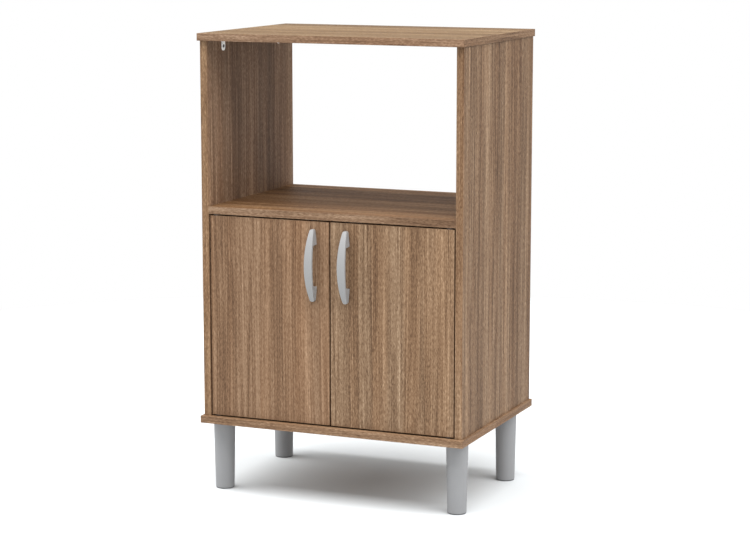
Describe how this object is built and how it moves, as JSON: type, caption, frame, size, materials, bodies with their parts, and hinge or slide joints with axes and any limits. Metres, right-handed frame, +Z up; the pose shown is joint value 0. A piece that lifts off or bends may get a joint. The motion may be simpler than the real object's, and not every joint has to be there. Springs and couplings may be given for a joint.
{
  "type": "microwave cabinet",
  "caption": "Open microwave niche above a cupboard with hinged inset doors and bow handles, on tapered legs.",
  "frame": {"origin": "on the floor, in the middle of the overall footprint, handles included", "axes": "+Z up, +X to the right of someone facing the doors, -Y towards that person"},
  "size_m": [0.58, 0.438, 0.95],
  "materials": {
    "wood_board": "satin wood-grain laminate on particleboard",
    "wood_edge_band": "satin wood-grain edge band",
    "hardboard": "matt hardboard",
    "dowel_wood": "bare beech",
    "grey_plastic": "satin moulded plastic",
    "silver_plastic": "silver painted plastic",
    "dark_plastic": "matt plastic glide",
    "white_plastic": "satin nylon",
    "zinc_steel": "bright zinc plate",
    "bronzed_steel": "dark bronze finish on steel",
    "magnet": "matt ferrite"
  },
  "bodies": {
    "cabinet": {"back_panel": "hardboard", "back_panel_nails": "zinc_steel", "base_dowels": "dowel_wood", "base_edge_bands": "wood_edge_band", "base_panel": "wood_board", "base_screws": "zinc_steel", "bracket_screws": "zinc_steel", "cam_bolts": "zinc_steel", "cam_locks": "zinc_steel", "catch_magnets": "magnet", "catch_pole_plates": "zinc_steel", "catch_screws": "zinc_steel", "front_left_leg": "grey_plastic", "front_right_leg": "grey_plastic", "inner_shelf": "wood_board", "inner_shelf_edge_band": "wood_edge_band", "left_catch_housing": "white_plastic", "left_lower_pivot_plate": "bronzed_steel", "left_side_edge_band": "wood_edge_band", "left_side_panel": "wood_board", "left_upper_pivot_plate": "bronzed_steel", "leg_glides": "dark_plastic", "leg_sleeve_nuts": "zinc_steel", "leg_studs": "zinc_steel", "middle_shelf": "wood_board", "middle_shelf_dowels": "dowel_wood", "middle_shelf_edge_band": "wood_edge_band", "pivot_pins": "bronzed_steel", "pivot_plate_screws": "bronzed_steel", "rear_left_leg": "grey_plastic", "rear_right_leg": "grey_plastic", "right_catch_housing": "white_plastic", "right_lower_pivot_plate": "bronzed_steel", "right_side_edge_band": "wood_edge_band", "right_side_panel": "wood_board", "right_upper_pivot_plate": "bronzed_steel", "shelf_supports": "white_plastic", "top_brackets": "white_plastic", "top_dowels": "dowel_wood", "top_edge_bands": "wood_edge_band", "top_panel": "wood_board"},
    "left_door": {"left_door_bushes": "dark_plastic", "left_door_edge_bands": "wood_edge_band", "left_door_panel": "wood_board", "left_handle": "silver_plastic", "left_handle_screws": "zinc_steel", "left_strike_plate": "zinc_steel", "left_strike_screw": "zinc_steel"},
    "right_door": {"right_door_bushes": "dark_plastic", "right_door_edge_bands": "wood_edge_band", "right_door_panel": "wood_board", "right_handle": "silver_plastic", "right_handle_screws": "zinc_steel", "right_strike_plate": "zinc_steel", "right_strike_screw": "zinc_steel"}
  },
  "joints": [
    {"name": "left_door_swing", "type": "hinge", "parent": "cabinet", "child": "left_door", "pos_m": [-0.25532, -0.1825, 0.372], "axis": [0, 0, -1], "range_deg": [0, 110]},
    {"name": "right_door_swing", "type": "hinge", "parent": "cabinet", "child": "right_door", "pos_m": [0.25532, -0.1825, 0.372], "axis": [0, 0, 1], "range_deg": [0, 110]}
  ]
}
